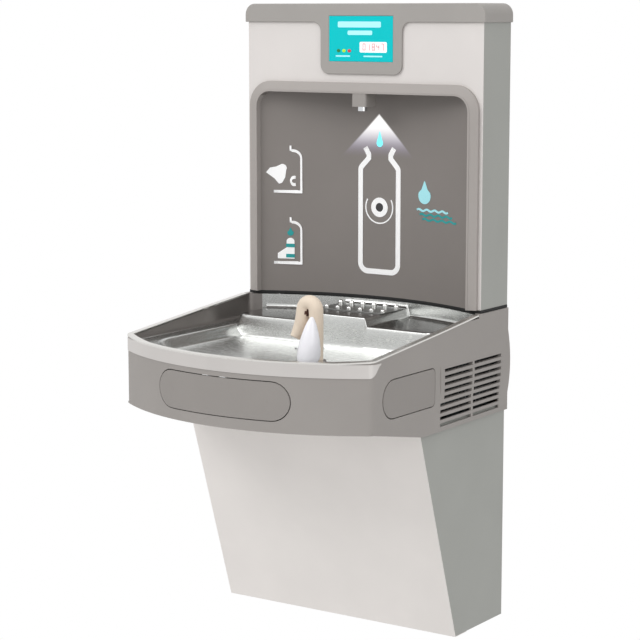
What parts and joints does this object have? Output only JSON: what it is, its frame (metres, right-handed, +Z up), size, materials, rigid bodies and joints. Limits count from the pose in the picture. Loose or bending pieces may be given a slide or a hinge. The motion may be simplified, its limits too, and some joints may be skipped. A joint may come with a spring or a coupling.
{
  "type": "bottle filling station",
  "caption": "Wall-hung bottle filling station: filler tower with sensor alcove and display, steel basin with guarded bubbler, push bars and a sloping chiller cabinet.",
  "frame": {"origin": "centre of the wall hanger's four-bolt pattern, on the wall plane", "axes": "+Z up, +X to the right of a viewer who faces the unit, +Y into the wall; the front faces -Y"},
  "size_m": [0.467, 0.485, 1.0052],
  "materials": {
    "zinc_steel": "galvanised, satin",
    "cabinet_light": "light platinum, satin",
    "cabinet_grey": "grey, satin",
    "tower_light": "light platinum, satin",
    "apron_grey": "moulded grey, fine texture",
    "push_grey": "moulded grey, fine texture",
    "basin_steel": "satin stainless",
    "rest_steel": "brushed stainless",
    "fitting_chrome": "polished",
    "trap_plastic": "white moulded",
    "hood_rubber": "beige, matt",
    "shield_plastic": "white gloss",
    "gasket_rubber": "black, matt",
    "liner_grey": "moulded dark grey, fine texture",
    "cap_grey": "moulded grey, fine texture",
    "window_cyan": "clear tinted",
    "board_green": "circuit board",
    "screen_cyan": "lit screen",
    "nozzle_grey": "moulded grey",
    "light_white": "frosted lens",
    "sensor_black": "dark lens",
    "valve_plastic": "off-white moulded",
    "pin_steel": "turned steel",
    "supply_black": "black",
    "switch_black": "black",
    "switch_red": "red",
    "spring_steel": "spring wire",
    "compressor_black": "black enamel",
    "foot_rubber": "black",
    "condenser_metal": "thin fins",
    "fan_black": "black",
    "motor_grey": "dark grey",
    "blade_grey": "grey",
    "foam_cream": "foam jacket",
    "copper_tube": "copper",
    "filter_head_blue": "dark blue-grey",
    "filter_white": "white",
    "water_tube": "milky tube",
    "thermostat_grey": "dark grey",
    "knob_grey": "light grey",
    "screw_steel": "zinc plated"
  },
  "bodies": {
    "root": {"wall_hanger": "zinc_steel", "chassis_back": "zinc_steel", "cabinet_base": "zinc_steel", "upper_shelf": "zinc_steel", "cabinet_front_panel": "cabinet_light", "cabinet_left_side": "cabinet_grey", "cabinet_right_side": "cabinet_grey", "apron_shroud": "apron_grey", "push_brackets": "zinc_steel", "push_switches": "switch_black", "front_springs": "spring_steel", "left_springs": "spring_steel", "right_springs": "spring_steel", "basin": "basin_steel", "bottle_rest": "rest_steel", "waste_fitting": "fitting_chrome", "trap": "trap_plastic", "bubbler_base": "fitting_chrome", "bubbler_hood": "hood_rubber", "bubbler_shield": "shield_plastic", "seam_gasket": "gasket_rubber", "tower_back_plate": "zinc_steel", "tower_left_side": "cabinet_grey", "tower_right_side": "cabinet_grey", "tower_front_panel": "tower_light", "alcove_liner": "liner_grey", "top_cap": "cap_grey", "display_window": "window_cyan", "display_board": "screen_cyan", "nozzle_housing": "nozzle_grey", "nozzle_aerator": "fitting_chrome", "nozzle_light": "light_white", "bottle_sensor": "sensor_black", "filler_valve": "valve_plastic", "control_board": "board_green", "power_supply": "supply_black", "compressor": "compressor_black", "compressor_feet": "foot_rubber", "condenser": "condenser_metal", "fan_shroud": "fan_black", "fan_motor": "motor_grey", "chiller_tank": "foam_cream", "refrigerant_lines": "copper_tube", "filter_head": "filter_head_blue", "bubbler_valve": "valve_plastic", "water_lines": "water_tube", "thermostat": "thermostat_grey", "power_inlet": "supply_black", "panel_screws": "screw_steel"},
    "front_push": {"front_push": "push_grey"},
    "left_push": {"left_push": "push_grey"},
    "right_push": {"right_push": "push_grey"},
    "front_switch_plunger": {"front_switch_plunger": "switch_red"},
    "left_switch_plunger": {"left_switch_plunger": "switch_red"},
    "right_switch_plunger": {"right_switch_plunger": "switch_red"},
    "fan": {"fan_blades": "blade_grey"},
    "filter": {"filter_cartridge": "filter_white"},
    "thermostat_knob": {"thermostat_knob": "knob_grey"},
    "bubbler_valve_plunger": {"bubbler_valve_plunger": "pin_steel"},
    "filler_valve_plunger": {"filler_valve_plunger": "pin_steel"}
  },
  "joints": [
    {"name": "front_push_travel", "type": "slide", "parent": "root", "child": "front_push", "axis": [0, 1, 0], "range_m": [0, 0.004], "stiffness_N_per_m": 500, "springref_m": -0.004, "deforming": ["front_springs"]},
    {"name": "front_switch_plunger_travel", "type": "slide", "parent": "root", "child": "front_switch_plunger", "axis": [0, 1, 0], "range_m": [0, 0.004]},
    {"name": "right_push_travel", "type": "slide", "parent": "root", "child": "right_push", "axis": [-1, 0, 0], "range_m": [0, 0.004], "stiffness_N_per_m": 500, "springref_m": -0.004, "deforming": ["right_springs"]},
    {"name": "right_switch_plunger_travel", "type": "slide", "parent": "root", "child": "right_switch_plunger", "axis": [-1, 0, 0], "range_m": [0, 0.004]},
    {"name": "left_push_travel", "type": "slide", "parent": "root", "child": "left_push", "axis": [1, 0, 0], "range_m": [0, 0.004], "stiffness_N_per_m": 500, "springref_m": -0.004, "deforming": ["left_springs"]},
    {"name": "left_switch_plunger_travel", "type": "slide", "parent": "root", "child": "left_switch_plunger", "axis": [1, 0, 0], "range_m": [0, 0.004]},
    {"name": "fan_spin", "type": "hinge", "parent": "root", "child": "fan", "pos_m": [0.1678, -0.114, -0.0795], "axis": [1, 0, 0], "continuous": true},
    {"name": "filter_twist", "type": "hinge", "parent": "root", "child": "filter", "pos_m": [0.004, -0.095, -0.169], "axis": [0, 0, 1], "range_deg": [0, 90]},
    {"name": "thermostat_turn", "type": "hinge", "parent": "root", "child": "thermostat_knob", "pos_m": [-0.179, -0.176, -0.1055], "axis": [0, 1, 0], "range_deg": [-135, 135]},
    {"name": "bubbler_valve_lift", "type": "slide", "parent": "root", "child": "bubbler_valve_plunger", "axis": [0, 0, 1], "range_m": [0, 0.0025], "stiffness_N_per_m": 300},
    {"name": "filler_valve_lift", "type": "slide", "parent": "root", "child": "filler_valve_plunger", "axis": [0, 0, 1], "range_m": [0, 0.0025], "stiffness_N_per_m": 300}
  ],
  "couplings": [
    {"joint": "front_switch_plunger_travel", "follows": "front_push_travel", "ratio": 1},
    {"joint": "right_switch_plunger_travel", "follows": "right_push_travel", "ratio": 1},
    {"joint": "left_switch_plunger_travel", "follows": "left_push_travel", "ratio": 1}
  ]
}
